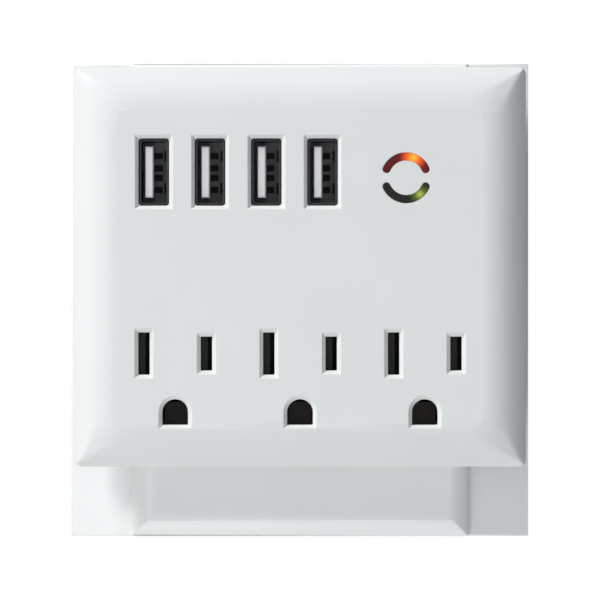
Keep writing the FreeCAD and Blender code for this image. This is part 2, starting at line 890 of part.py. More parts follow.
def bus_recess():
    """The shallow tray in the back of the base that the root plates and strips of the contacts lie in."""
    recess = block(
        (-base_half + base_rim, base_half - base_rim),
        (bus_cover_front - 1, base_rear),
        (base_bottom + base_rim, base_top - base_rim),
    )
    for x, z in upper_screw_places:
        recess = recess.cut(rod(x, z, board_post_radius - loose_fit, (0, base_rear)))
    return recess


def receptacle_base():
    body = block((-base_half, base_half), (bus_cover_front, face_depth), (base_bottom, base_top))
    body = body.common(cavity(loose_fit)).cut(bus_recess())
    for x in outlet_xs:
        left, right = shutter_extent(x)
        pocket = block(
            (left - shutter_travel - loose_fit, right + loose_fit),
            (pocket_floor, face_depth),
            (blade_line - shutter_height / 2 - loose_fit, blade_line + shutter_height / 2 + loose_fit),
        )
        body = body.cut(pocket)
        for side, height in ((-1, neutral_leaf_height), (1, line_leaf_height)):
            place = (x + side * half_blades, blade_line)
            opening = neutral_slot_height + 2 * loose_fit
            body = body.cut(centred(*place, slot_width + 2 * loose_fit, opening, (base_rear, face_depth)))
            chamber = (base_rear - 1, chamber_roof)
            body = body.cut(centred(*place, chamber_width, height + 2 * loose_fit, chamber))
        wide = 2 * (ground_spread + 1.1 + contact_leaf + loose_fit)
        body = body.cut(arched_bar(x, ground_line, ground_hole_radius + loose_fit, (base_rear, face_depth)))
        body = body.cut(
            centred(x, ground_line, wide, ground_leaf_height + 2 * loose_fit, (base_rear - 1, chamber_roof))
        )
    for x, z in case_boss_places:
        body = body.cut(rod(x, z, case_boss_radius + board_gap, (0, face_depth)))
    for x, z in upper_screw_places:
        hole = (0, bus_cover_front + board_screw_bite)
        body = body.cut(rod(x, z, board_screw_radius + screw_clearance, hole))
    for x, z in anchor_places:
        body = body.cut(rod(x, z, board_post_radius + loose_fit, (0, face_depth)))
    return joined([body, *[stop_post(x) for x in outlet_xs]])


def stop_post(x):
    """The fixed post that each shutter spring pushes against, standing in the shutter's window."""
    left, _ = spring_window(x)
    depth = (pocket_floor, shutter_front - loose_fit)
    across = (left + loose_fit, left + loose_fit + stop_post_width)
    return block(across, depth, (blade_line - stop_post_reach, blade_line + stop_post_reach))


def spring_window(x):
    """Left and right ends of the window in the shutter that holds its spring, when it is closed."""
    left = x - half_blades + shutter_lid / 2 + 0.3 + shutter_aperture + 0.85
    return left, left + stop_post_width + shutter_travel + 1.0


def shutter(x):
    """A sliding plate with a ramped lid over each blade slot and an opening beside each lid."""
    left, right = shutter_extent(x)
    low = blade_line - shutter_height / 2
    plate = block((left, right), (shutter_back, shutter_front), (low, low + shutter_height))
    window_rows = (blade_line - spring_window_reach, blade_line + spring_window_reach)
    plate = plate.cut(block(spring_window(x), (shutter_back, shutter_front), window_rows))
    aperture_tall = neutral_slot_height + 2 * loose_fit
    for side in (-1, 1):
        lid_edge = x + side * half_blades + shutter_lid / 2 + 0.3
        span = (lid_edge, lid_edge + shutter_aperture)
        half = aperture_tall / 2
        plate = plate.cut(block(span, (shutter_back, shutter_front), (blade_line - half, blade_line + half)))
        ramp = shutter_thickness * 0.6
        points = [
            Vector(lid_edge, -shutter_front, blade_line - half),
            Vector(lid_edge - ramp, -shutter_front, blade_line - half),
            Vector(lid_edge, -(shutter_front - ramp), blade_line - half),
        ]
        plate = plate.cut(prism(points, Vector(0, 0, aperture_tall)))
    return plate


def shutter_spring(x):
    """A flat zigzag wire spring along X, between the stop post and the end of the shutter's window."""
    left, right = spring_window(x)
    start, end = left + loose_fit + stop_post_width + spring_wire, right - spring_wire
    step = (end - start) / (spring_turns * 2)
    middle_depth = (shutter_back + shutter_front) / 2
    points = [
        Vector(start + step * i, -middle_depth, blade_line + spring_reach * (-1) ** i)
        for i in range(spring_turns * 2 + 1)
    ]
    return pipe(points, spring_bend, spring_wire)


def bus_cover():
    plate = block(
        (-base_half + loose_fit, base_half - loose_fit),
        (bus_cover_depth, bus_cover_depth + bus_cover_thickness),
        (base_bottom + loose_fit, base_top - loose_fit),
    )
    for cutter in neck_passages(loose_fit, (0, face_depth)):
        plate = plate.cut(cutter)
    for x, z in base_screw_places:
        plate = plate.cut(rod(x, z, board_screw_radius + loose_fit, (0, face_depth)))
    for x, z in case_boss_places:
        plate = plate.cut(rod(x, z, case_boss_radius + board_gap, (0, face_depth)))
    return plate


def small_screws(places, seat, reach):
    """Board screws at places, seated at one depth; a negative reach makes them point backwards."""
    size = (board_screw_radius, board_screw_head_radius, board_screw_head_height)
    return Part.makeCompound([screw(x, z, seat, seat + reach, *size) for x, z in places])


# ---------------------------------------------------------------- USB sockets


def usb_shell(x):
    """The folded metal tube round one socket, with two sprung tabs in the wall that faces the contacts."""
    depth = (usb_rear, usb_mouth)
    outer = rounded_bar(x, usb_z, usb_width, usb_height, depth, 2 * usb_metal)
    inner = rounded_bar(
        x, usb_z, usb_width - 2 * usb_metal, usb_height - 2 * usb_metal, (0, face_depth), usb_metal
    )
    shell = outer.cut(inner)
    wall = x + usb_width / 2 - usb_metal
    front = usb_mouth - usb_tab_from_mouth
    root = front - usb_tab_length - 2 * loose_fit
    crest = front - usb_tab_length / 2
    for side in (-1, 1):
        z = usb_z + side * usb_height / 4
        low = z - usb_tab_tall / 2
        rows = (low - loose_fit, low + usb_tab_tall + loose_fit)
        slot = (front - usb_tab_length, front + 2 * loose_fit)
        shell = shell.cut(block((wall - loose_fit, x + usb_width), slot, rows))
        points = [
            Vector(wall, -root, low),
            Vector(wall - usb_tab_bulge, -crest, low),
            Vector(wall, -front, low),
            Vector(wall + usb_metal, -front, low),
            Vector(wall + usb_metal - usb_tab_bulge, -crest, low),
            Vector(wall + usb_metal, -root, low),
        ]
        shell = shell.fuse(prism(points, Vector(0, 0, usb_tab_tall)))
    return shell.removeSplitter()


def tongue_sides(x):
    left = x - usb_width / 2 + usb_metal + tongue_side_gap
    return left, left + tongue_thickness


def contact_blank(x, offset, grow=0.0):
    """One flat contact on the tongue, from its solder tail to near the tongue's tip."""
    _, right = tongue_sides(x)
    half = contact_width / 2 + grow
    return block(
        (right - contact_thickness - grow, right + close_fit),
        (usb_board_rear - contact_tail + board_thickness, usb_mouth - tongue_setback - contact_from_tip),
        (usb_z + offset - half, usb_z + offset + half),
    )


def usb_tongue(x):
    """The insulator: a floor that closes the tube, and the tongue that carries the contacts."""
    width = usb_width - 2 * (usb_metal + close_fit)
    height = usb_height - 2 * (usb_metal + close_fit)
    floor = rounded_bar(x, usb_z, width, height, (usb_rear, usb_rear + usb_floor), usb_metal)
    left, right = tongue_sides(x)
    half = tongue_height / 2
    front = usb_mouth - tongue_setback
    tongue = block((left, right), (usb_rear + tongue_root, front), (usb_z - half, usb_z + half))
    tip = [e for e in tongue.Edges if abs(e.CenterOfMass.y + front) < 1e-6]
    tongue = tongue.makeChamfer(tongue_tip_chamfer, tip)
    body = joined([floor, tongue])
    for offset in contact_offsets:
        pocket_half = contact_width / 2 + contact_pocket_clearance
        rows = (usb_z + offset - pocket_half, usb_z + offset + pocket_half)
        pocket = block((right, right + contact_pocket_width), (usb_rear + 2 * tongue_root, usb_mouth), rows)
        body = body.cut(pocket)
        body = body.cut(contact_blank(x, offset))
    return body


def usb_contacts(x):
    return Part.makeCompound([contact_blank(x, offset) for offset in contact_offsets])


def usb_board():
    board = block(
        (usb_board_left, usb_board_right),
        (usb_board_rear, usb_board_front),
        (usb_board_bottom, usb_board_top),
    )
    for x in usb_xs:
        for offset in contact_offsets:
            board = board.cut(contact_blank(x, offset, 0.1))
    for x, z in usb_post_places:
        board = board.cut(rod(x, z, board_screw_radius + loose_fit, (0, face_depth)))
    for pin in header_pins((usb_board_rear - 1, usb_board_front + 1)):
        board = board.cut(pin)
    return board


def charge_chips():
    """One controller chip beside the tails of each socket, soldered to the back of the USB board."""
    depth = (usb_board_rear - chip_thickness, usb_board_rear)
    return Part.makeCompound([centred(x - usb_pitch / 2, usb_z, *chip_size, depth) for x in usb_xs])


def standing_capacitor(x, z, radius, foot, height):
    """A can capacitor standing on a board, with a crimped groove near its foot."""
    can = rod(x, z, radius, (foot, foot + height))
    rims = [e for e in can.Edges if e.Closed and abs(e.BoundBox.YMin + foot + height) < 1e-6]
    can = can.makeFillet(can_round * radius, rims)
    low, high = foot + crimp_height, foot + crimp_height + crimp_width
    groove = rod(x, z, radius + 1, (low, high)).cut(rod(x, z, (1 - crimp_share) * radius, (foot, high + 1)))
    return can.cut(groove)


def usb_board_capacitors():
    xs = [(a + b) / 2 for a, b in zip(usb_xs, usb_xs[1:])]
    z = usb_board_top - small_capacitor_radius - board_edge_margin
    size = (small_capacitor_radius, usb_board_front, small_capacitor_height)
    return Part.makeCompound([standing_capacitor(x, z, *size) for x in xs])


# ---------------------------------------------------------------- indicator


def indicator_lens(angle):
    """One arc of the ring: a clear bar that fills the window, on a wider flange behind the face."""
    bar = ring_arc(
        ring_radius,
        ring_width - 2 * close_fit,
        ring_half_angle,
        angle,
        (inner_face_depth - lens_flange_thickness / 2, face_depth),
    )
    flange = ring_arc(
        ring_radius,
        lens_flange_width,
        ring_half_angle,
        angle,
        (inner_face_depth - lens_flange_thickness, inner_face_depth),
    )
    return joined([bar, flange])


def indicator_board():
    board = centred(
        ring_x,
        ring_z,
        indicator_board_size,
        indicator_board_size,
        (indicator_board_depth, indicator_front),
    )
    for x, z in indicator_post_places:
        board = board.cut(rod(x, z, indicator_peg_radius + close_fit, (0, face_depth)))
    return board


def indicator_led(angle):
    """A round lamp on the indicator board, behind the right-hand end of its arc."""
    turn = math.radians(angle)
    x, z = ring_x + ring_radius * math.cos(turn), ring_z + ring_radius * math.sin(turn)
    top = indicator_front + led_height - led_radius
    body = rod(x, z, led_radius, (indicator_front, top))
    foot = rod(x, z, led_radius + led_collar, (indicator_front, indicator_front + led_collar_height))
    dome = Part.makeSphere(led_radius, Vector(x, -top, z))
    return joined([body, foot, dome])


# ---------------------------------------------------------------- power supply


def power_board():
    board = block(
        (-board_half, board_half),
        (power_board_depth, power_board_front),
        (power_board_bottom, power_board_top),
    )
    for x, z in board_post_places:
        board = board.cut(rod(x, z, board_screw_radius + loose_fit, (0, face_depth)))
    return board


def surge_board():
    board = block(
        (-board_half, board_half),
        (surge_board_depth, surge_board_front),
        (surge_board_bottom, surge_board_top),
    )
    for cutter in neck_passages(0.5, (0, face_depth)):
        board = board.cut(cutter)
    for x, z in board_post_places:
        board = board.cut(rod(x, z, board_screw_radius + loose_fit, (0, face_depth)))
    return board


def transformer_levels():
    """Depths of the transformer: bottom and top of the core, then bottom and top of its window."""
    foot = power_board_front + bobbin_foot
    yoke = transformer_tall * 0.2
    return foot, foot + transformer_tall, foot + yoke, foot + transformer_tall - yoke


def transformer_core():
    """A ferrite frame with a centre leg, standing on the bobbin's foot."""
    foot, top, window_low, window_high = transformer_levels()
    core = centred(0, parts_row, transformer_width, transformer_deep * 0.5, (foot, top))
    leg = transformer_width * 0.15
    deep = (parts_row - transformer_deep, parts_row + transformer_deep)
    for side in (-1, 1):
        window = sorted((side * leg, side * (transformer_width / 2 - leg)))
        core = core.cut(block(window, (window_low, window_high), deep))
    return core


def transformer_winding():
    """The taped coil between the cheeks of its bobbin, whose foot stands on the power board."""
    foot, _, window_low, window_high = transformer_levels()
    low, high = window_low + close_fit, window_high - close_fit
    leg = transformer_width * 0.15
    half = transformer_width / 2 - leg - loose_fit
    coil = centred(0, parts_row, 2 * (half - cheek_lip), transformer_deep - 2 * cheek_lip, (low, high))
    coil = coil.makeFillet(coil_round, edges_along(coil, Vector(0, 1, 0)))
    cheeks = [
        centred(0, parts_row, 2 * half, transformer_deep, (start, start + bobbin_cheek))
        for start in (low, high - bobbin_cheek)
    ]
    leg_hole = centred(
        0, parts_row, 2 * (leg + close_fit), transformer_deep * 0.5 + 2 * close_fit, (0, face_depth)
    )
    base = centred(0, parts_row, transformer_width, transformer_deep, (power_board_front, foot))
    reach = transformer_deep * 0.25 + loose_fit
    legs = [
        block((-half, half), (power_board_front, low + bobbin_cheek), (parts_row + near, parts_row + far))
        for near, far in ((-transformer_deep / 2, -reach), (reach, transformer_deep / 2))
    ]
    return joined([joined([coil, *cheeks]).cut(leg_hole), base, *legs])


def input_capacitors():
    gap = 2 * big_capacitor_radius + capacitor_gap
    first = -transformer_width / 2 - big_capacitor_radius - transformer_gap
    size = (big_capacitor_radius, power_board_front, big_capacitor_height)
    return Part.makeCompound([standing_capacitor(first - gap * i, parts_row, *size) for i in range(2)])


def filter_capacitor():
    """The boxed mains filter capacitor."""
    x = transformer_width / 2 + row_gap + filter_capacitor_width / 2
    depth = (power_board_front, power_board_front + filter_capacitor_height)
    box = centred(x, parts_row, filter_capacitor_width, filter_capacitor_tall, depth)
    return box.makeFillet(filter_capacitor_round, box.Edges)


def line_choke():
    """A wound ring that keeps switching noise off the mains, standing on its foot."""
    x = transformer_width / 2 + 2 * row_gap + filter_capacitor_width + choke_radius
    middle = Vector(x, -(power_board_front + choke_radius + choke_lift), parts_row)
    ring = Part.makeTorus(choke_radius - choke_wire, choke_wire, middle, Vector(0, 0, 1))
    foot = centred(x, parts_row, *choke_foot, (power_board_front, power_board_front + choke_foot_height))
    return joined([ring, foot])


def bridge_rectifier():
    """A small moulded block on four feet."""
    x, z = bridge_place
    width, tall = bridge_size
    depth = (power_board_front + bridge_lift, power_board_front + bridge_lift + bridge_thickness)
    body = centred(x, z, width, tall, depth)
    foot_depth = (power_board_front, power_board_front + bridge_foot_height)
    feet = [
        centred(x + side * bridge_foot_offset[0], z + end * bridge_foot_offset[1], *bridge_foot, foot_depth)
        for side in (-1, 1)
        for end in (-1, 1)
    ]
    return joined([body.makeChamfer(bridge_lift, body.Edges), *feet])


def heat_sink():
    """A finned aluminium strip that fills the room under the USB board."""
    half, z = sink_length / 2, usb_z + sink_rise
    base_depth = (power_board_front, power_board_front + sink_base_thickness)
    base = centred(0, z, sink_length, sink_tall, base_depth)
    pitch = (sink_tall - sink_fin) / (sink_fins - 1)
    fins = []
    for i in range(sink_fins):
        low = z - sink_tall / 2 + pitch * i
        fins.append(block((-half, half), (power_board_front, sink_top), (low, low + sink_fin)))
    return joined([base, *fins])


def switching_transistor():
    """A flat power package lying on its tab."""
    z = usb_z - transistor_drop
    width, tall = transistor_size
    body = centred(0, z, width, tall, (power_board_front, power_board_front + transistor_thickness))
    metal = (power_board_front, power_board_front + transistor_metal)
    tab = centred(0, z + tall / 2 + transistor_metal, *transistor_tab, metal)
    leg_z = z - tall / 2 - transistor_leg[1] / 2 + close_fit * 4
    legs = [centred(side * transistor_leg_offset, leg_z, *transistor_leg, metal) for side in (-1, 1)]
    return joined([body, tab, *legs])


def output_capacitors():
    size = (output_capacitor_radius, power_board_front, output_capacitor_height)
    return Part.makeCompound([standing_capacitor(x, z, *size) for x, z in output_capacitor_places])


def input_fuse():
    """A small cylindrical mains fuse that lies on its two end caps."""
    x, z = fuse_place
    cap_radius = fuse_radius + fuse_cap_metal
    height = power_board_front + cap_radius
    left, right = x - fuse_length / 2, x + fuse_length / 2
    along = Vector(1, 0, 0)
    tube = Part.makeCylinder(fuse_radius, fuse_length, Vector(left, -height, z), along)
    caps = [
        Part.makeCylinder(cap_radius, fuse_cap, Vector(start, -height, z), along)
        for start in (left - fuse_cap_metal, right + fuse_cap_metal - fuse_cap)
    ]
    return joined([tube, *caps])


def varistors():
    """Three disc varistors that clamp a surge, lying on the surge board."""
    middle = (surge_board_bottom + surge_board_top) / 2
    high = surge_board_top - varistor_radius - board_edge_margin
    places = [(0.0, high), (-outlet_pitch, middle), (outlet_pitch, middle)]
    discs = []
    for x, z in places:
        disc = rod(x, z, varistor_radius, (surge_board_front, surge_board_front + varistor_thickness))
        rims = [e for e in disc.Edges if e.Closed]
        discs.append(disc.makeFillet(varistor_round * varistor_thickness, rims))
    return Part.makeCompound(discs)


def thermal_cutoff():
    """The one-shot thermal cutoff that opens the line if the varistors overheat."""
    left = (outlet_pitch - cutoff_length) / 2
    start = Vector(left, -(surge_board_front + cutoff_radius), surge_board_top - cutoff_drop)
    body = Part.makeCylinder(cutoff_radius, cutoff_length, start, Vector(1, 0, 0))
    return body.makeFillet(cutoff_round, [e for e in body.Edges if e.Closed])


def header_pins(depth):
    """The four square pins of the board-to-board header over the depth range."""
    first = header_x - header_pitch * (header_count - 1) / 2
    xs = [first + header_pitch * i for i in range(header_count)]
    return [centred(x, header_z, header_pin, header_pin, depth) for x in xs]


def dc_header():
    """The pin row that carries the low voltage from the power board up through the USB board."""
    depth = (power_board_front, power_board_front + header_body)
    body = centred(header_x, header_z, header_count * header_pitch, header_body, depth)
    return joined([body, *header_pins((power_board_front, usb_board_front + header_stand_out))])


def mains_wires():
    """The line and neutral wires, looped from the surge board up to the power board."""
    low, high = surge_board_top - wire_from_edge, power_board_bottom + wire_from_edge
    wires = []
    for x in (-mains_wire_x, mains_wire_x):
        points = [
            Vector(x, -surge_board_front, low),
            Vector(x, -(surge_board_front + mains_wire_lift), low),
            Vector(x, -(power_board_front + mains_wire_lift), high),
            Vector(x, -power_board_front, high),
        ]
        wires.append(pipe(points, wire_bend, wire_radius))
    return Part.makeCompound(wires)


def indicator_wires():
    """Three light wires side by side from the power board to the indicator board."""
    low, high = ring_z - indicator_wire_low, ring_z - indicator_wire_high
    middle = (power_board_front + indicator_board_depth) / 2
    wires = []
    for i in range(indicator_wire_count):
        x = ring_x + indicator_wire_shift + indicator_wire_pitch * i
        points = [
            Vector(x, -power_board_front, low),
            Vector(x, -(middle - indicator_wire_run), low),
            Vector(x, -(middle + indicator_wire_run), high),
            Vector(x, -indicator_board_depth, high),
        ]
        wires.append(pipe(points, indicator_wire_bend, indicator_wire_radius))
    return Part.makeCompound(wires)


# ---------------------------------------------------------------- assembly


def all_parts():
    parts = {
        "mounting_plate": mounting_plate(),
        "plate_screw": plate_screw(),
        "front_cover": front_cover(),
        "rear_shell": rear_shell(),
        "case_screws": case_screws(),
        "neutral_blade": blade(-1, neutral_blade_width),
        "line_blade": blade(1, line_blade_width),
        "ground_pin": ground_pin(),
        "stabiliser_pin": stabiliser_pin(),
        "receptacle_base": receptacle_base(),
        "neutral_bus": neutral_bus(),
        "line_bus": line_bus(),
        "ground_bus": ground_bus(),
        "bus_cover": bus_cover(),
        "bus_cover_screws": small_screws(base_screw_places, bus_cover_depth, 8.0),
        "usb_board": usb_board(),
        "usb_board_screws": small_screws(usb_post_places, usb_board_rear, 8.0),
        "charge_chips": charge_chips(),
        "usb_board_capacitors": usb_board_capacitors(),
        "indicator_board": indicator_board(),
        "protected_led": indicator_led(led_angle),
        "grounded_led": indicator_led(-led_angle),
        "power_board": power_board(),
        "surge_board": surge_board(),
        "board_screws": small_screws(board_post_places, power_board_front, -4.0),
        "transformer_core": transformer_core(),
        "transformer_winding": transformer_winding(),
        "input_capacitors": input_capacitors(),
        "filter_capacitor": filter_capacitor(),
        "line_choke": line_choke(),
        "bridge_rectifier": bridge_rectifier(),
        "heat_sink": heat_sink(),
        "switching_transistor": switching_transistor(),
        "output_capacitors": output_capacitors(),
        "input_fuse": input_fuse(),
        "varistors": varistors(),
        "thermal_cutoff": thermal_cutoff(),
        "dc_header": dc_header(),
        "mains_wires": mains_wires(),
        "indicator_wires": indicator_wires(),
    }
    for name, angle in lens_angles.items():
        parts[name] = indicator_lens(angle)
    for i, x in enumerate(outlet_xs, 1):
        parts[f"shutter_{i}"] = shutter(x)
        parts[f"shutter_spring_{i}"] = shutter_spring(x)
    for i, x in enumerate(usb_xs, 1):
        parts[f"usb_shell_{i}"] = usb_shell(x)
        parts[f"usb_tongue_{i}"] = usb_tongue(x)
        parts[f"usb_contacts_{i}"] = usb_contacts(x)
    return parts


def main():
    os.makedirs("parts", exist_ok=True)
    for name, shape in all_parts().items():
        if not shape.isValid() or not shape.Solids:
            raise ValueError(f"{name} is not a valid solid")
        shape.exportStep(f"parts/{name}.step")
        print(f"{name}: {len(shape.Solids)} solid(s), {shape.Volume:.1f} mm3")


main()
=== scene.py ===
# %% [markdown]
# # A wall charger with three outlets, four USB sockets and an indicator ring
#
# The solid model already holds every part at its real size, so this lesson is about looks. It rounds the
# crisp edges the way a real mould does, gives every part its own surface, and lights the whole.
# Lengths are in metres, +Z is up and the charger faces -Y, out of the wall.

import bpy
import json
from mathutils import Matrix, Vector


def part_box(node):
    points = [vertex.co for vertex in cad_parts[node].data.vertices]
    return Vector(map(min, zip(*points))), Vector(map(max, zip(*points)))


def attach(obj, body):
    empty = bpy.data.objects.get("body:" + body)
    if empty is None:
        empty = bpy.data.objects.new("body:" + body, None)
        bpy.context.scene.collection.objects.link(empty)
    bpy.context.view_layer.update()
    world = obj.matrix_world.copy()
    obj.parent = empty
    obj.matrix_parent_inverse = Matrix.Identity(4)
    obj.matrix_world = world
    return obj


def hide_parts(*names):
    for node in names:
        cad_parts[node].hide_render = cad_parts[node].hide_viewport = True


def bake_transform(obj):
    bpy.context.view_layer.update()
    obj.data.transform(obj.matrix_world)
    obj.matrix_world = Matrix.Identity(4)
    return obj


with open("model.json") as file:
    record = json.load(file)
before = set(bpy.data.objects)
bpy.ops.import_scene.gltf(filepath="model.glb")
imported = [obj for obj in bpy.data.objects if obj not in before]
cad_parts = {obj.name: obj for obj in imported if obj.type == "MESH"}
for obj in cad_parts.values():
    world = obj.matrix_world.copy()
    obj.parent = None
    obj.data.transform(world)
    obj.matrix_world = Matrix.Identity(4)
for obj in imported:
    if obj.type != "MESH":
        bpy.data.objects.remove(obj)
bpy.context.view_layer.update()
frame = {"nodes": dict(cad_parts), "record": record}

# %% Imports and the measures taken from the frame
import json
import math

import bmesh
import bpy
from mathutils import Vector

MM = 0.001
scene = bpy.context.scene
cover_low, cover_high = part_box("front_cover")
plate_low, plate_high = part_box("mounting_plate")
slot_of = {part["node"]: part["material_slot"] for part in frame["record"]["subparts"]}
print("cover width in mm:", round((cover_high.x - cover_low.x) / MM, 1))

# %% [markdown]
# ## The camera
#
# A wall charger is best seen from straight ahead through a long lens, so that the sides stay hidden and
# the face keeps its true proportions. The plate at the back is a little wider than the cover, and from
# 1.3 m away it shows only as a sliver beside it. With this lens the cover fills three quarters of the
# frame's width.

# %% Camera
CAMERA_DISTANCE = 1.305
CAMERA_LENS = 385.0
SENSOR_WIDTH = 36.0
NEAREST = 0.05
FURTHEST = 100.0

camera_data = bpy.data.cameras.new("camera")
camera_data.lens = CAMERA_LENS
camera_data.sensor_width = SENSOR_WIDTH
camera_data.clip_start = NEAREST
camera_data.clip_end = FURTHEST
camera = bpy.data.objects.new("camera", camera_data)
camera.location = (0.0, cover_low.y - CAMERA_DISTANCE, (plate_low.z + plate_high.z) / 2)
camera.rotation_euler = (math.radians(90), 0.0, 0.0)
scene.collection.objects.link(camera)
scene.camera = camera
print("camera stands", round(-camera.location.y, 3), "m in front of the wall")

# %% [markdown]
# ## The light
#
# White goods are lit softly from one side, or their edges vanish into the background. A large soft panel
# stands at the upper left and does most of the work: what leans towards it turns almost white, and what
# leans right falls into a cool grey. A weaker panel below and in front keeps the strip under the cover,
# which the cover shades, from going dark. The surround is dim and slightly cool, and dimmer on the right.
# Only the camera sees it as plain white, which keeps the outline clean. The view transform is the plain
# one, because the film-like one would turn that white grey.

# %% A helper for node trees
def add_node(tree, kind, settings=None, **inputs):
    """A node of that kind, with plain values or sockets put on its inputs by name or, as i0, by number."""
    node = tree.nodes.new(kind)
    for key, value in (settings or {}).items():
        setattr(node, key, value)
    for key, value in inputs.items():
        socket = node.inputs[int(key[1:]) if key[0] == "i" and key[1:].isdigit() else key.replace("_", " ")]
        if isinstance(value, bpy.types.NodeSocket):
            tree.links.new(value, socket)
        else:
            socket.default_value = value
    return node


def set_ramp(node, stops):
    """Gives a colour ramp its stops, each a place from 0 to 1 and a colour."""
    elements = node.color_ramp.elements
    elements.remove(elements[1])
    elements[0].position = stops[0][0]
    for place, colour in stops:
        element = elements[0] if place == stops[0][0] else elements.new(place)
        element.color = (*colour, 1.0)
    return node


print("node helpers ready")

# %% The surround
SURROUND = [
    (0.0, (0.4, 0.405, 0.41)),
    (0.5, (0.4, 0.405, 0.41)),
    (0.75, (0.3, 0.31, 0.33)),
    (1.0, (0.1, 0.115, 0.14)),
]

world = bpy.data.worlds.new("surround")
world.use_nodes = True
tree = world.node_tree
tree.nodes.clear()
place = add_node(tree, "ShaderNodeTexCoord")
axes = add_node(tree, "ShaderNodeSeparateXYZ", Vector=place.outputs["Generated"])
across = add_node(tree, "ShaderNodeMapRange", Value=axes.outputs["X"], From_Min=-1.0, From_Max=1.0)
sides = set_ramp(add_node(tree, "ShaderNodeValToRGB", Fac=across.outputs["Result"]), SURROUND)
dim = add_node(tree, "ShaderNodeBackground", Color=sides.outputs["Color"], Strength=1.0)
white = add_node(tree, "ShaderNodeBackground", Color=(1.0, 1.0, 1.0, 1.0), Strength=1.0)
ray = add_node(tree, "ShaderNodeLightPath")
seen = add_node(
    tree, "ShaderNodeMixShader", i0=ray.outputs["Is Camera Ray"], i1=dim.outputs[0], i2=white.outputs[0]
)
add_node(tree, "ShaderNodeOutputWorld", Surface=seen.outputs[0])
scene.world = world
scene.view_settings.view_transform = "Standard"
print("surround, left to right:", [stop[1][1] for stop in SURROUND])

# %% The two panels
PANEL_SIZE = 0.5


def panel_light(name, direction, distance, power):
    """A square soft panel that faces the charger, so far away in that direction."""
    data = bpy.data.lights.new(name, "AREA")
    data.shape = "SQUARE"
    data.size = PANEL_SIZE
    data.energy = power
    lamp = bpy.data.objects.new(name, data)
    target = Vector((0.0, cover_low.y, 0.0))
    lamp.location = target + Vector(direction).normalized() * distance
    lamp.rotation_euler = (target - lamp.location).to_track_quat("-Z", "Y").to_euler()
    scene.collection.objects.link(lamp)
    return lamp


key_panel = panel_light("key_panel", (-0.53, -0.4, 0.75), 1.4, 20.0)
low_panel = panel_light("low_panel", (-0.22, -0.5, -0.84), 0.75, 2.4)
print("panels:", key_panel.data.energy, low_panel.data.energy, "W")

# %% [markdown]
# ## A pale floor
#
# The charger hangs on a wall, so nothing touches the floor. It lies well below, where it closes the view
# from above and throws a little light back. It looks a little brighter to the camera than it is, so that
# it stays pale without lighting the charger from below.

# %% Helpers for materials and objects
def new_material(name):
    """An empty material with a principled shader; gives back the material, its tree and the shader."""
    material = bpy.data.materials.new(name)
    material.use_nodes = True
    return material, material.node_tree, material.node_tree.nodes["Principled BSDF"]


def object_from(bm, name, material):
    """Turns a bmesh into an object of that name and material, and frees the bmesh."""
    mesh = bpy.data.meshes.new(name)
    bm.to_mesh(mesh)
    bm.free()
    mesh.materials.append(material)
    made = bpy.data.objects.new(name, mesh)
    scene.collection.objects.link(made)
    return made


print("material and object helpers ready")

# %% Floor
FLOOR_DROP = 0.9
FLOOR_REACH = 5.0
FLOOR_SIDES = 64
FLOOR_WHITE = 0.9
FLOOR_ROUGHNESS = 0.9
FLOOR_GLOW = 0.5

floor_material, tree, shader = new_material("pale_floor")
shader.inputs["Base Color"].default_value = (FLOOR_WHITE, FLOOR_WHITE, FLOOR_WHITE, 1.0)
shader.inputs["Roughness"].default_value = FLOOR_ROUGHNESS
shader.inputs["Emission Color"].default_value = (1.0, 1.0, 1.0, 1.0)
ray = add_node(tree, "ShaderNodeLightPath")
glow = add_node(
    tree, "ShaderNodeMath", {"operation": "MULTIPLY"}, i0=ray.outputs["Is Camera Ray"], i1=FLOOR_GLOW
)
tree.links.new(glow.outputs[0], shader.inputs["Emission Strength"])

bm = bmesh.new()
bmesh.ops.create_circle(bm, cap_ends=True, segments=FLOOR_SIDES, radius=FLOOR_REACH)
bmesh.ops.translate(bm, verts=bm.verts, vec=(0, 0, plate_low.z - FLOOR_DROP))
object_from(bm, "floor", floor_material)
print("floor is", round(FLOOR_DROP / MM), "mm below the plate")

# %% [markdown]
# ## Surfaces
#
# Every finish on this object is either moulded, coated, plated or wound. Each has a fine grain that breaks
# up the light, and a slower change of tone over a centimetre or so that keeps large areas from looking
# painted. Both come from noise on object coordinates, so they stay put when a part moves. One helper
# makes the common finish, and each material then states its own grain, tone and polish.

# %% The common finish
TONE_SCALE = 70.0
POLISH_SPREAD = 0.12


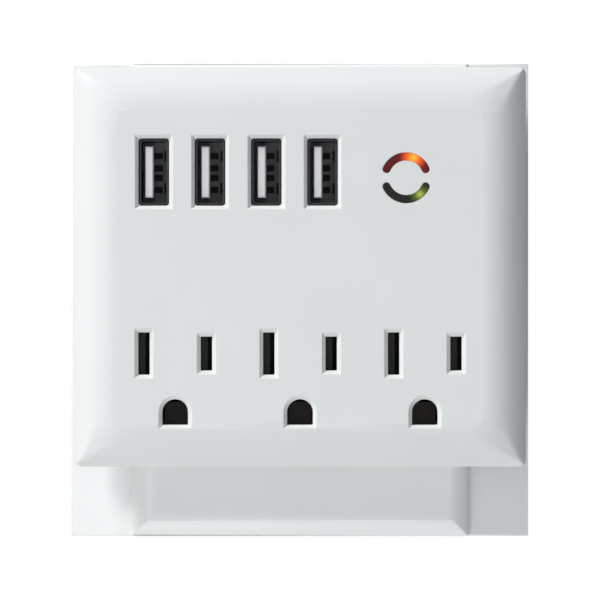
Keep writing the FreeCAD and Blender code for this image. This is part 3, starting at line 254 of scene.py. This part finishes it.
def finish(
    name, colour, roughness, metallic=0.0, grain=0.35, relief=0.012, tone=0.03, stretch=(1, 1, 1), **extra
):
    """A grained surface. grain and relief are the width and the height of the grain in millimetres."""
    material, tree, shader = new_material(name)
    place = add_node(tree, "ShaderNodeTexCoord")
    spread = add_node(tree, "ShaderNodeMapping", Vector=place.outputs["Object"], Scale=stretch)
    fine = add_node(
        tree, "ShaderNodeTexNoise", Vector=spread.outputs[0],
        Scale=1 / (grain * MM), Detail=3.0, Roughness=0.6,
    )
    slow = add_node(tree, "ShaderNodeTexNoise", Vector=place.outputs["Object"], Scale=TONE_SCALE, Detail=2.0)
    shade = add_node(
        tree, "ShaderNodeMapRange", Value=slow.outputs["Fac"], From_Min=0.3, From_Max=0.7,
        To_Min=1.0 - tone, To_Max=1.0 + tone,
    )
    tinted = add_node(
        tree, "ShaderNodeVectorMath", {"operation": "SCALE"}, i0=colour, Scale=shade.outputs["Result"]
    )
    polish = add_node(
        tree, "ShaderNodeMapRange", Value=fine.outputs["Fac"], From_Min=0.3, From_Max=0.7,
        To_Min=roughness * (1 - POLISH_SPREAD),
        To_Max=min(1.0, roughness * (1 + POLISH_SPREAD)),
    )
    bump = add_node(
        tree, "ShaderNodeBump", Height=fine.outputs["Fac"], Strength=0.6, Distance=relief * MM
    )
    tree.links.new(tinted.outputs[0], shader.inputs["Base Color"])
    tree.links.new(polish.outputs["Result"], shader.inputs["Roughness"])
    tree.links.new(bump.outputs["Normal"], shader.inputs["Normal"])
    shader.inputs["Metallic"].default_value = metallic
    for key, value in extra.items():
        shader.inputs[key.replace("_", " ")].default_value = value
    return material


print("finish helper ready")

# %% [markdown]
# ### Moulded plastics
#
# The cover is satin white plastic with the very fine spark texture of its mould. The wall plate is a
# whiter, glossier plastic. Sockets, contact carrier and shutters are black with the same kind of grain.

# %% Plastics
WHITE_COVER = (0.72, 0.74, 0.735)
WHITE_PLATE = (0.84, 0.855, 0.85)
BLACK = (0.009, 0.009, 0.01)
TONGUE = (0.7, 0.7, 0.73)

materials = {
    "white_plastic": finish("white_cover", WHITE_COVER, 0.42, grain=0.3, relief=0.006, tone=0.008),
    "black_plastic": finish("black_carrier", BLACK, 0.5, grain=0.25, relief=0.01),
    "nylon": finish("natural_nylon", (0.62, 0.6, 0.55), 0.45, grain=0.4, tone=0.02, Subsurface_Weight=0.15),
    "chip_epoxy": finish("chip_epoxy", (0.016, 0.016, 0.017), 0.6, grain=0.15, relief=0.01),
    "capacitor_sleeve": finish("capacitor_sleeve", (0.02, 0.022, 0.035), 0.25, grain=0.8, relief=0.004),
    "yellow_box": finish("capacitor_box", (0.62, 0.5, 0.08), 0.45, grain=0.3),
    "blue_epoxy": finish("varistor_epoxy", (0.03, 0.1, 0.32), 0.35, grain=0.9, relief=0.03, tone=0.08),
    "wire_black": finish("wire_sleeve", (0.02, 0.02, 0.022), 0.55, grain=0.5),
    "tongue_plastic": finish("tongue_insulator", TONGUE, 0.4, grain=0.25, relief=0.006, tone=0.05),
    "fuse_ceramic": finish("fuse_ceramic", (0.7, 0.67, 0.6), 0.5, grain=0.2, tone=0.04),
}
plate_white = finish("white_plate", WHITE_PLATE, 0.36, grain=0.5, relief=0.006, tone=0.008)
print("plastics:", len(materials) + 1)

# %% [markdown]
# ### Metals
#
# Blades and contacts are stamped from rolled strip, so their grain is drawn out along the strip. Screws
# are zinc plated, the USB tubes are plated nearly black, and the springs are bright wire. The contact strips
# are brass painted far darker than brass, as painted shade for their place deep in the slots.

# %% Metals
ALONG_DEPTH = (1.0, 0.06, 1.0)
ALONG_WIDTH = (0.06, 1.0, 1.0)

materials.update({
    "blade_metal": finish("blade_brass", (0.66, 0.56, 0.36), 0.3, 1.0, 0.25, 0.006, 0.05, ALONG_DEPTH),
    # Contact strips: the brass colour is darkened as painted shade, because the strips sit deep in the
    # slots.
    "contact_brass": finish("strip_darkened_as_shade", (0.3, 0.28, 0.26), 0.5, 1.0, 0.3, 0.006, 0.1, ALONG_WIDTH),
    "contact_gold": finish("flashed_gold", (0.8, 0.58, 0.22), 0.25, 1.0, 0.2, 0.004),
    "zinc_steel": finish("zinc_plate", (0.55, 0.56, 0.58), 0.35, 1.0, 0.4, 0.008, 0.06),
    "shell_steel": finish("dark_tube", (0.075, 0.077, 0.085), 0.35, 0.6, 0.3, 0.004, 0.05, ALONG_DEPTH),
    "spring_steel": finish("spring_wire", (0.5, 0.5, 0.52), 0.3, 1.0, 0.2, 0.003),
    "sink_aluminium": finish("sink_aluminium", (0.72, 0.73, 0.74), 0.35, 1.0, 0.3, 0.008, 0.03, ALONG_WIDTH),
    "white_screw": finish("painted_screw", (0.84, 0.85, 0.84), 0.3, 0.0, 0.6, 0.01),
    "ferrite": finish("ferrite", (0.05, 0.05, 0.055), 0.55, 0.2, 0.3, 0.03, 0.08),
    "copper_winding": finish("enamelled_wire", (0.45, 0.13, 0.05), 0.3, 0.6, 0.5, 0.01, 0.05),
})
print("finishes so far:", len(materials))

# %% [markdown]
# ### Circuit board, tape and USB insulators
#
# A board is green lacquer over copper tracks. A grid of uneven cells with raised borders stands for them.
# Winding tape is a yellow film laid in overlapping turns, so it has regular bands across the coil. Each
# USB insulator is light. Towards the back of the socket, where its four contact pockets lie deep inside, it
# is painted nearly black as painted shade.

# %% Board, tape and insulators
def with_pattern(material, pattern, light, dark, height=0.0):
    """Colours a finish by a pattern socket, from dark at 0 to light at 1, and can raise the light parts."""
    tree = material.node_tree
    shader = tree.nodes["Principled BSDF"]
    mix = add_node(
        tree, "ShaderNodeMix", {"data_type": "RGBA"}, i0=pattern, i6=(*dark, 1.0), i7=(*light, 1.0)
    )
    tree.links.new(mix.outputs[2], shader.inputs["Base Color"])
    if height:
        old = shader.inputs["Normal"].links[0].from_socket
        bump = add_node(
            tree, "ShaderNodeBump", Height=pattern, Normal=old, Strength=1.0, Distance=height * MM
        )
        tree.links.new(bump.outputs["Normal"], shader.inputs["Normal"])
    return material


board = finish("board_lacquer", (0.02, 0.12, 0.05), 0.3, grain=0.5, relief=0.004)
place = add_node(board.node_tree, "ShaderNodeTexCoord")
flat = add_node(
    board.node_tree, "ShaderNodeMapping", Vector=place.outputs["Object"], Rotation=(math.radians(90), 0, 0)
)
cells = add_node(
    board.node_tree, "ShaderNodeTexBrick", {"offset": 0.37, "squash": 1.6, "squash_frequency": 3},
    Vector=flat.outputs[0], Scale=210.0, Mortar_Size=0.035, Mortar_Smooth=0.3,
)
materials["circuit_board"] = with_pattern(
    board, cells.outputs["Fac"], (0.04, 0.2, 0.07), (0.015, 0.09, 0.035), 0.03
)

tape = finish("winding_tape", (0.62, 0.42, 0.05), 0.3, grain=0.6, relief=0.003)
place = add_node(tape.node_tree, "ShaderNodeTexCoord")
turns = add_node(
    tape.node_tree, "ShaderNodeTexWave", {"bands_direction": "Y"},
    Vector=place.outputs["Object"], Scale=160.0, Distortion=0.3, Detail=1.0,
)
materials["winding_tape"] = with_pattern(
    tape, turns.outputs["Fac"], (0.66, 0.45, 0.06), (0.5, 0.33, 0.04), 0.05
)

# Painted shade: between these depths from the back of the socket, the insulator fades from its own light
# colour to nearly black.
SHADE_UP_TO = 1.6 * MM
UNSHADED_FROM = 2.4 * MM

tongue = materials["tongue_plastic"]
socket_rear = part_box("usb_shell_1")[1].y
place = add_node(tongue.node_tree, "ShaderNodeTexCoord")
axes = add_node(tongue.node_tree, "ShaderNodeSeparateXYZ", Vector=place.outputs["Object"])
unshaded_share = add_node(
    tongue.node_tree, "ShaderNodeMapRange",
    Value=axes.outputs["Y"], From_Min=socket_rear - SHADE_UP_TO, From_Max=socket_rear - UNSHADED_FROM,
)
# Painted shade: nearly black at the back of the socket, the insulator's own light colour further out.
with_pattern(tongue, unshaded_share.outputs[0], TONGUE, (0.03, 0.03, 0.032))
print("patterned:", board.name, tape.name, tongue.name)

# %% [markdown]
# ### Light guides and lamps
#
# The two arcs are tinted guides with a lamp behind the right-hand end of each. The upper one is deep red
# with an orange glow over its lamp; the lower one is almost black with a green glow. The glow is emission
# that fades with the distance from the lamp.

# %% Light guides
SWIRL_SCALE = 900.0
SWIRL_HEIGHT = 0.02 * MM
GUIDE_ROUGHNESS = 0.12
GUIDE_COAT = 0.4


def lamp_centre(node):
    """The middle of a lamp's dome, brought forward to the face."""
    low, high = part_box(node)
    middle = (low + high) / 2
    return Vector((middle.x, cover_low.y, middle.z))


def light_guide(name, body, rim, glow, core, centre, reach, strength):
    """A tinted guide that glows round centre: core at the lamp, glow further out, body beyond reach."""
    material, tree, shader = new_material(name)
    place = add_node(tree, "ShaderNodeTexCoord")
    gap = add_node(
        tree, "ShaderNodeVectorMath", {"operation": "DISTANCE"}, i0=place.outputs["Object"], i1=centre
    )
    near = add_node(
        tree, "ShaderNodeMapRange", Value=gap.outputs["Value"],
        From_Min=0.0, From_Max=reach, To_Min=1.0, To_Max=0.0,
    )
    tint = set_ramp(
        add_node(tree, "ShaderNodeValToRGB", Fac=near.outputs["Result"]),
        [(0.0, body), (0.25, rim), (0.62, glow), (1.0, core)],
    )
    swirl = add_node(
        tree, "ShaderNodeTexNoise", Vector=place.outputs["Object"], Scale=SWIRL_SCALE, Detail=2.0
    )
    bump = add_node(
        tree, "ShaderNodeBump", Height=swirl.outputs["Fac"], Strength=0.4, Distance=SWIRL_HEIGHT
    )
    tree.links.new(tint.outputs["Color"], shader.inputs["Base Color"])
    tree.links.new(tint.outputs["Color"], shader.inputs["Emission Color"])
    tree.links.new(bump.outputs["Normal"], shader.inputs["Normal"])
    shader.inputs["Emission Strength"].default_value = strength
    shader.inputs["Roughness"].default_value = GUIDE_ROUGHNESS
    shader.inputs["Coat Weight"].default_value = GUIDE_COAT
    return material


GLOW_SHIFT = Vector((-1.3, 0.0, 0.8)) * MM

materials["red_lens"] = light_guide(
    "red_guide", (0.06, 0.0, 0.001), (0.12, 0.001, 0.001), (0.6, 0.07, 0.004), (0.9, 0.38, 0.03),
    lamp_centre("protected_led") + GLOW_SHIFT, 3.6 * MM, 0.65,
)
materials["green_lens"] = light_guide(
    "green_guide", (0.004, 0.003, 0.002), (0.008, 0.01, 0.002), (0.05, 0.08, 0.006), (0.3, 0.36, 0.05),
    lamp_centre("grounded_led"), 2.9 * MM, 0.6,
)
materials["red_led"] = finish("red_lamp", (0.7, 0.03, 0.02), 0.12, grain=0.8, relief=0.002)
materials["green_led"] = finish("green_lamp", (0.1, 0.5, 0.05), 0.12, grain=0.8, relief=0.002)
print("guides:", materials["red_lens"].name, materials["green_lens"].name)

# %% Every part gets its finish
for name, node in frame["nodes"].items():
    chosen = plate_white if name == "mounting_plate" else materials[slot_of[name]]
    node.data.materials.clear()
    node.data.materials.append(chosen)
print("dressed parts:", len(frame["nodes"]))

# %% [markdown]
# ## Soft edges on the mouldings
#
# No moulded edge is perfectly sharp: the tool is polished and the plastic shrinks, which leaves a radius
# of a tenth or two of a millimetre that catches a thin line of light. The solid model leaves most of these
# out. A copy of the cover and one of the plate are merged, their flat areas are joined into larger faces,
# and a Bevel modifier rounds the edges that are marked, which keeps the rest of the shape as it is.

# %% A rounded copy of a moulding
MERGE_DISTANCE = 0.03 * MM
FLAT_ANGLE = math.radians(0.6)
SHARP_ANGLE = math.radians(28)
SQUARE = 0.99999
BEVEL_SEGMENTS = 3


def merged_copy(node):
    """A bmesh of the node with its triangles merged and its flat areas joined."""
    bm = bmesh.new()
    bm.from_mesh(frame["nodes"][node].data)
    bmesh.ops.remove_doubles(bm, verts=bm.verts, dist=MERGE_DISTANCE)
    bmesh.ops.dissolve_limit(bm, angle_limit=FLAT_ANGLE, verts=bm.verts, edges=bm.edges)
    return bm


def stand_in(bm, name, node, body, width, material, soft=lambda edge: True):
    """Makes the bmesh a piece that replaces the node, with its sharp, soft edges rounded to width.

    Only facets of curved surfaces are shaded smooth: flat faces that are square to an axis stay flat.
    """
    weight = bm.edges.layers.float.new("bevel_weight_edge")
    bm.normal_update()
    for edge in bm.edges:
        sharp = edge.is_manifold and edge.calc_face_angle() > SHARP_ANGLE
        edge[weight] = 1.0 if sharp and soft(edge) else 0.0
    for face in bm.faces:
        face.smooth = max(abs(part) for part in face.normal) < SQUARE and any(
            e.is_manifold and e.calc_face_angle() < SHARP_ANGLE for e in face.edges
        )
    piece = object_from(bm, name, material)
    round_off = piece.modifiers.new("round_off", "BEVEL")
    round_off.width = width
    round_off.segments = BEVEL_SEGMENTS
    round_off.limit_method = "WEIGHT"
    round_off.use_clamp_overlap = False
    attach(piece, body)
    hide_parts(node)


print("helpers for mouldings ready")

# %% [markdown]
# ### The cover's mitres
#
# Where two of the cover's curved sides meet, the real one has no crease but a blend a few millimetres
# wide. The long faces of the sides are first cut on both sides of each mitre, so that the change stays
# near it. Then each vertex there is set back to where the curve would be if it started from a smooth
# blend of the two distances past the flat face, in place of the larger one. The outline stays as it is.

# %% The cover, with blended mitres
SHOULDER = 9.0 * MM
SHOULDER_DROP = 4.5 * MM
CROWN_RADIUS = (SHOULDER**2 + SHOULDER_DROP**2) / (2 * SHOULDER_DROP)
CROWN_FACING = 0.3
BLEND_WIDTH = 5.0 * MM
BLEND_END = 8.0 * MM
BLEND_CUTS = [step * 0.5 * MM for step in (-7, -5, -4, -3, -2, -1, 1, 2, 3, 4, 5, 7)]
CUT_TOLERANCE = 0.001 * MM
EDGE_TOLERANCE = 0.02 * MM
CURVE_TOLERANCE = 0.06 * MM
COVER_EDGE = 0.14 * MM

middle = (cover_low + cover_high) / 2
corner = Vector((cover_high.x - SHOULDER, 0, cover_high.z - middle.z - SHOULDER))


def past_flat(co):
    """How far a point lies beyond the flat face, sideways and up or down."""
    return abs(co.x) - corner.x, abs(co.z - middle.z) - corner.z


def on_crown(face):
    """Whether the face belongs to the curved sides, seen from in front."""
    near = all(
        max(past_flat(v.co)) > -EDGE_TOLERANCE and v.co.y < cover_low.y + SHOULDER_DROP for v in face.verts
    )
    return near and -SQUARE < face.normal.y < -CROWN_FACING


def crown_depth(reach):
    """Depth of the curved side at that distance past the flat face."""
    return cover_low.y + CROWN_RADIUS - math.sqrt(CROWN_RADIUS**2 - reach**2)


bm = merged_copy("front_cover")
bm.normal_update()
for side in (-1, 1):
    for end in (-1, 1):
        across = Vector((side, 0, -end)).normalized()
        start = Vector((side * corner.x, 0, middle.z + end * corner.z))
        for offset in BLEND_CUTS:
            faces = [f for f in bm.faces if on_crown(f)]
            edges = {e for f in faces for e in f.edges}
            verts = {v for f in faces for v in f.verts}
            bmesh.ops.bisect_plane(
                bm, geom=[*faces, *edges, *verts], dist=CUT_TOLERANCE,
                plane_co=start + across * offset, plane_no=across,
            )
            bm.normal_update()
blended = 0
for vertex in {v for f in bm.faces if on_crown(f) for v in f.verts}:
    out_x, out_z = past_flat(vertex.co)
    reach = max(out_x, out_z)
    width = BLEND_WIDTH * min(1.0, (BLEND_END - reach) / (BLEND_END / 2))
    share = max(0.0, 1 - abs(out_x - out_z) / width) if width > 0 else 0.0
    if reach > 0 and share > 0 and abs(vertex.co.y - crown_depth(reach)) < CURVE_TOLERANCE:
        vertex.co.y = crown_depth(reach + share**2 * width / 4)
        blended += 1
print("blended vertices:", blended, "of", len(bm.verts))
stand_in(bm, "rounded_cover", "front_cover", "charger", COVER_EDGE, materials["white_plastic"])

# %% [markdown]
# ### The plate
#
# Only the outline of the plate and of its raised middle is rounded. The openings keep their edges, and
# the large faces round them are cut into triangles first, because one face can't hold a hole.

# %% The plate, rounded along its outline
OPENINGS_HALF_WIDTH = 21.0 * MM
OPENINGS_HALF_HEIGHT = 41.0 * MM
CORNER_REACH = 1.0 * MM
BACK_REACH = 0.5 * MM
PLATE_EDGE = 0.3 * MM


def on_outline(edge):
    """Whether an edge of the plate is an outer one on its front, away from openings and outer corners."""
    places = [(abs(v.co.x), abs(v.co.z)) for v in edge.verts]
    outside = all(x > OPENINGS_HALF_WIDTH or z > OPENINGS_HALF_HEIGHT for x, z in places)
    at_corner = any(x > plate_high.x - CORNER_REACH and z > plate_high.z - CORNER_REACH for x, z in places)
    in_front = all(v.co.y < -BACK_REACH for v in edge.verts)
    return outside and not at_corner and in_front and edge.is_convex


bm = merged_copy("mounting_plate")
bmesh.ops.triangulate(bm, faces=[f for f in bm.faces if len(f.verts) > 4])
stand_in(bm, "rounded_plate", "mounting_plate", "wall_mount", PLATE_EDGE, plate_white, on_outline)
print("rounded copies stand in for the cover and the plate")

# %% [markdown]
# ## Copies of the shutter springs
#
# Each shutter's spring rests against the case at its left end and pushes the shutter at its right end.
# A welded copy of each spring stands in for it in place, and the spring from the solid model is hidden.

# %% The shutter springs
OUTLETS = (1, 2, 3)
WELD_DISTANCE = 0.001 * MM

for number in OUTLETS:
    spring = f"shutter_spring_{number}"
    bm = bmesh.new()
    bm.from_mesh(frame["nodes"][spring].data)
    bmesh.ops.remove_doubles(bm, verts=bm.verts, dist=WELD_DISTANCE)
    closing = object_from(bm, f"closing_spring_{number}", materials[slot_of[spring]])
    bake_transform(closing)
    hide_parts(spring)
print("springs that close up:", len(OUTLETS))
